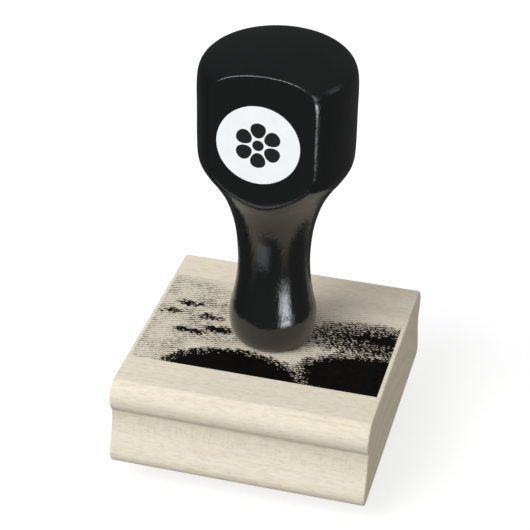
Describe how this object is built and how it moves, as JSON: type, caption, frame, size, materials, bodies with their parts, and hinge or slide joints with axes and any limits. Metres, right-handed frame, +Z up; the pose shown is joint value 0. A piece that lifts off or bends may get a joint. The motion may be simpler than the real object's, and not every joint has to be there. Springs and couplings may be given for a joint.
{
  "type": "rubber stamp",
  "caption": "Hand stamp with a turned lacquered handle, a moulded maple mount, and a foam-backed rubber die that gives a little when pressed.",
  "frame": {"origin": "centre of the printing face, on the paper", "axes": "+Z up the handle's axis, +X along the moulding, -Y towards the front with the round label"},
  "size_m": [0.06, 0.0636, 0.1021],
  "materials": {
    "maple": "bare, sanded, fine straight grain along the moulding",
    "printed_film": "clear film printed in black halftone, satin",
    "black_lacquer": "gloss black lacquer over turned hardwood",
    "white_vinyl": null,
    "screw_steel": "yellow zinc plated",
    "adhesive_film": "translucent double-sided film",
    "grey_foam": "closed-cell foam, matt",
    "red_rubber": "moulded rubber, matt"
  },
  "bodies": {
    "mount": {"mount_block": "maple", "index_label": "printed_film", "handle": "black_lacquer", "handle_label": "white_vinyl", "handle_screw": "screw_steel", "block_tape": "adhesive_film", "cushion": "grey_foam"},
    "die": {"die_tape": "adhesive_film", "rubber_die": "red_rubber"}
  },
  "joints": [
    {"name": "cushion_press", "type": "slide", "parent": "mount", "child": "die", "axis": [0, 0, 1], "range_m": [0, 0.0008], "stiffness_N_per_m": 30000, "deforming": ["cushion"]}
  ]
}
